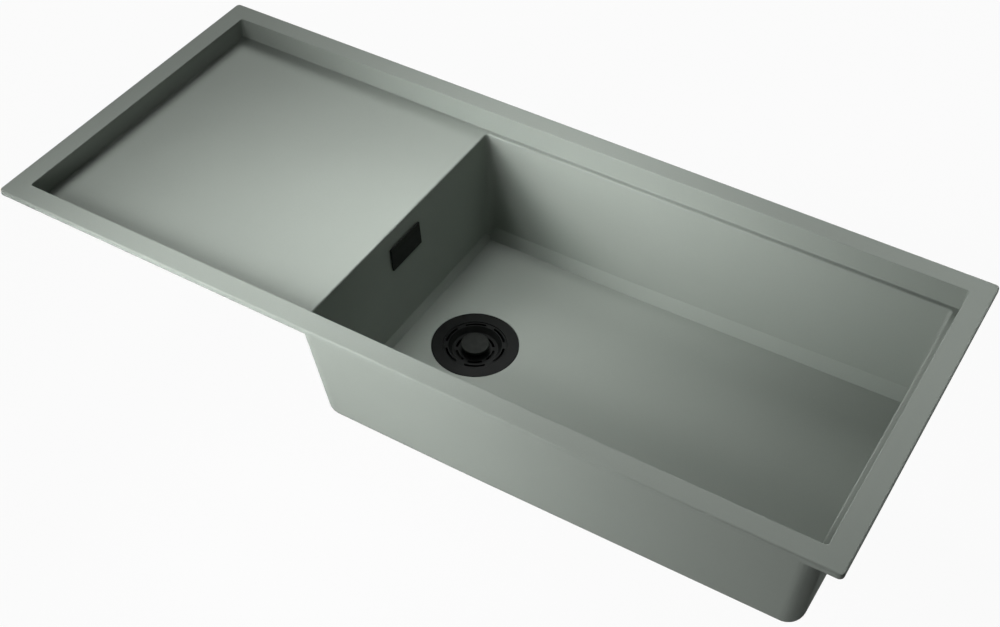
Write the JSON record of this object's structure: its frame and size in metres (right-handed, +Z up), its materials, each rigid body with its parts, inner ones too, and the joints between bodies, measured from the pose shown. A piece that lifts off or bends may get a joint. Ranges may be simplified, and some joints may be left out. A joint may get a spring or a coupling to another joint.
{
  "type": "kitchen sink",
  "caption": "Rectangular ceramic inset sink with a sunken drainer, a deep bowl, a lift-out basket strainer with a push-down stopper, and a covered overflow piped to the waste.",
  "frame": {"origin": "centre of the rim's outline, on the plane of its underside, which is the worktop's surface", "axes": "+Z up, +X along the length from the drainer to the bowl, +Y to the back"},
  "size_m": [1.16, 0.5, 0.3125],
  "materials": {
    "sink": "matte sage green",
    "black_metal": "matte black coat",
    "black_plastic": "matte black",
    "waste_plastic": "moulded pale grey",
    "rubber": "black rubber",
    "steel": "plain stainless",
    "brass": "turned brass"
  },
  "bodies": {
    "sink": {"sink_body": "sink", "strainer_flange": "black_metal", "flange_gasket": "rubber", "clamp_screw": "steel", "clamp_insert": "brass", "waste_gasket": "rubber", "waste_body": "waste_plastic", "overflow_frame": "black_plastic", "overflow_screw": "steel", "overflow_insert": "brass", "overflow_gasket": "rubber", "overflow_housing": "waste_plastic", "overflow_pipe": "waste_plastic", "pipe_seals": "rubber", "pipe_nuts": "waste_plastic"},
    "basket": {"strainer_basket": "black_metal", "stem_guide": "black_plastic"},
    "stopper": {"basket_knob": "black_plastic", "stopper_stem": "steel", "stem_ring": "rubber", "stopper_bell": "black_plastic", "stopper_seal": "rubber", "stopper_nut": "steel"},
    "cover": {"overflow_cover": "black_plastic"}
  },
  "joints": [
    {"name": "basket_lift", "type": "slide", "parent": "sink", "child": "basket", "axis": [0, 0, 1], "range_m": [0, 0.22]},
    {"name": "stopper_slide", "type": "slide", "parent": "basket", "child": "stopper", "axis": [0, 0, 1], "range_m": [-0.006, 0]},
    {"name": "cover_pull", "type": "slide", "parent": "sink", "child": "cover", "axis": [0.9966, 0, 0.0819], "range_m": [0, 0.04]}
  ]
}
